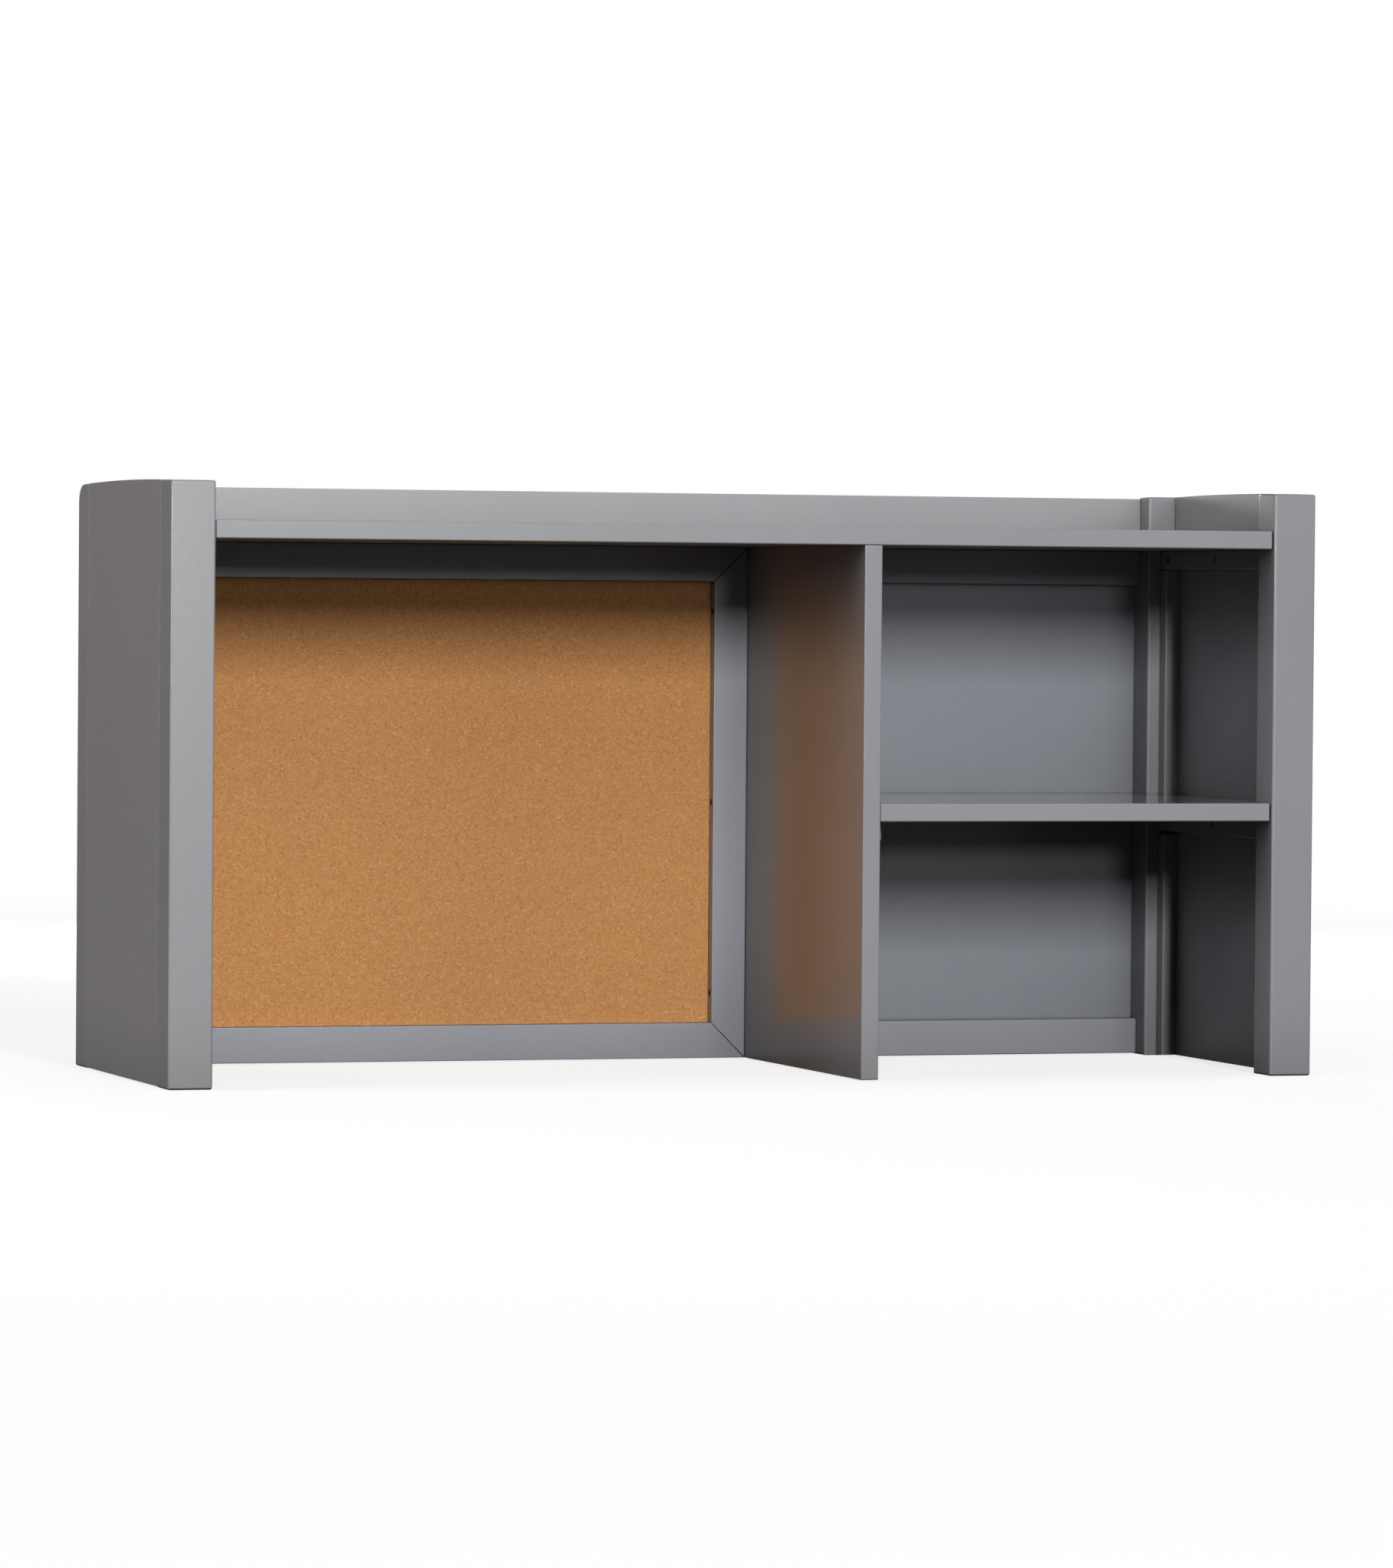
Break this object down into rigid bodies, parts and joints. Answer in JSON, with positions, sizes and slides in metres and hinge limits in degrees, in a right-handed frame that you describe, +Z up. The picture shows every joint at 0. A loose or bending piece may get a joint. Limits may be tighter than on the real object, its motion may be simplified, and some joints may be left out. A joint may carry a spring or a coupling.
{
  "type": "desk hutch",
  "caption": "Painted desk hutch with post-and-panel sides, a top shelf with a gallery rail, a divider, a framed cork board bay and a narrow bay with a middle shelf.",
  "frame": {"origin": "on the desk plane, midway between the sides and midway between the posts' front and rear faces", "axes": "+X to the viewer's right seen from the front, +Y to the back, +Z up"},
  "size_m": [1.14, 0.376, 0.5661],
  "materials": {
    "grey_paint": "satin grey paint on wood and fibreboard, smooth with a faint roller texture",
    "cork": "pressed cork granules, matt",
    "black_steel": "black oxide wood screws",
    "zinc_steel": "zinc-plated wood screws",
    "beech": "bare beech dowels",
    "insert_brass": "turned brass threaded inserts"
  },
  "bodies": {
    "root": {"post_front_left": "grey_paint", "post_front_right": "grey_paint", "post_rear_left": "grey_paint", "post_rear_right": "grey_paint", "side_panel_left": "grey_paint", "side_panel_right": "grey_paint", "top_shelf": "grey_paint", "middle_shelf": "grey_paint", "divider": "grey_paint", "gallery_rail": "grey_paint", "back_panel": "grey_paint", "bay_rail_top": "grey_paint", "bay_rail_bottom": "grey_paint", "frame_rail_top": "grey_paint", "frame_rail_bottom": "grey_paint", "frame_stile_left": "grey_paint", "frame_stile_right": "grey_paint", "top_cleat_left": "grey_paint", "top_cleat_right": "grey_paint", "middle_cleat_side": "grey_paint", "middle_cleat_divider": "grey_paint", "corner_cleat_left": "grey_paint", "corner_cleat_lower": "grey_paint", "corner_cleat_upper": "grey_paint", "cork_sheet": "cork", "frame_screws": "black_steel", "cleat_screws": "black_steel", "shelf_screws": "black_steel", "back_screws": "zinc_steel", "rail_dowels": "beech", "shelf_dowels": "beech", "desk_inserts": "insert_brass"}
  },
  "joints": []
}
